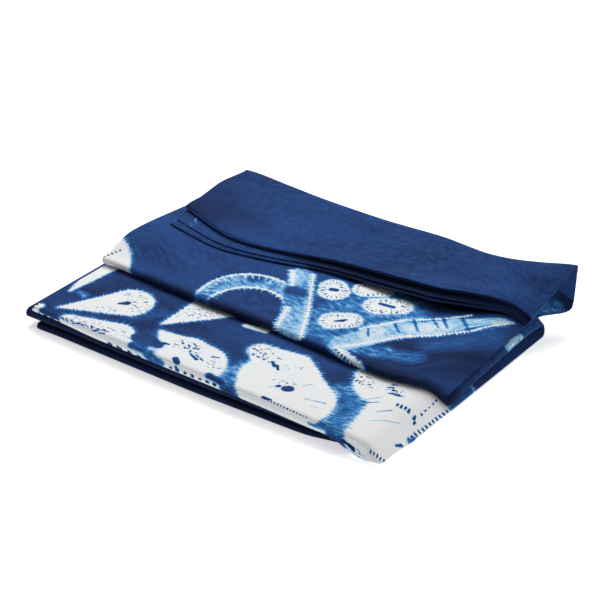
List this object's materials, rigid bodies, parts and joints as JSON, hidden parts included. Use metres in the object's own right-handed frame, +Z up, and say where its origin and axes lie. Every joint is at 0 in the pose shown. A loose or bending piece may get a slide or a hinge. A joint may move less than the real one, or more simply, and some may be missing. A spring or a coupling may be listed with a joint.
{
  "type": "folded tablecloth",
  "caption": "Folded cotton tablecloth, tie-dyed with indigo in petal, ring and stitched band motifs, with plain navy folds and turned hems fanned at the front of its top flap.",
  "frame": {"origin": "bottom centre of the folded cloth's bounding box, on the surface that it lies on", "axes": "+Z up; +X along the front folds, from the side hems' ends at the left to the folded edges at the right; +Y from the front folds to the back folds"},
  "size_m": [0.39, 0.289, 0.0617],
  "materials": {
    "indigo_cotton": "matt plain weave"
  },
  "bodies": {
    "root": {"tablecloth": "indigo_cotton"}
  },
  "joints": []
}
